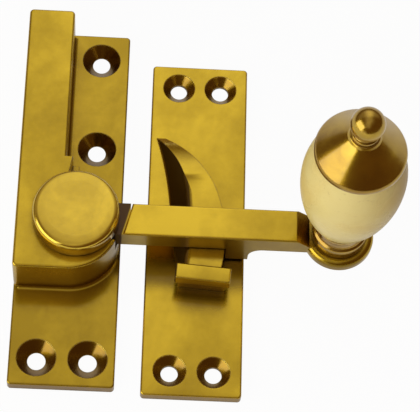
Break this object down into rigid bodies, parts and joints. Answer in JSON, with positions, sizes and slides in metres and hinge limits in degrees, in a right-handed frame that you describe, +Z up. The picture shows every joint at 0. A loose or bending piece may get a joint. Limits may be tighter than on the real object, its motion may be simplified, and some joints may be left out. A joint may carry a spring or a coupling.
{
  "type": "sash fastener",
  "caption": "Straight-arm brass sash fastener with a ceramic knob: a lever plate with fence and boss, a swinging arm with claw and eye, and a keep plate with a cam ridge and stop.",
  "frame": {"origin": "midway between the lever plate's front pair of screw holes, level with the underside of both plates", "axes": "+X across the meeting rails from the lever plate to the keep plate, +Y along the rails towards the fence's back end, +Z up away from the rails"},
  "size_m": [0.078, 0.0841, 0.0627],
  "materials": {
    "cast_brass": "polished casting, lightly aged",
    "turned_brass": "turned and polished, lightly aged",
    "spring_steel": "blued strip",
    "spindle_steel": "drawn rod",
    "washer_leather": "plain",
    "glazed_barrel": "glossy cream glaze"
  },
  "bodies": {
    "base": {"lever_base": "cast_brass", "pivot_disc": "turned_brass", "rivet_washer": "turned_brass", "leaf_spring": "spring_steel", "spring_wedge": "turned_brass", "keep_plate": "cast_brass"},
    "arm": {"lever_arm": "cast_brass", "knob_spindle": "spindle_steel", "knob_collar": "turned_brass", "lower_knob_washer": "washer_leather", "knob_barrel": "glazed_barrel", "upper_knob_washer": "washer_leather", "knob_cap": "turned_brass", "knob_finial": "turned_brass"}
  },
  "joints": [
    {"name": "arm_swing", "type": "hinge", "parent": "base", "child": "arm", "pos_m": [0.0015, 0.0275, 0.0104], "axis": [0, 0, 1], "range_deg": [-7.6, 80], "deforming": ["leaf_spring"]}
  ]
}
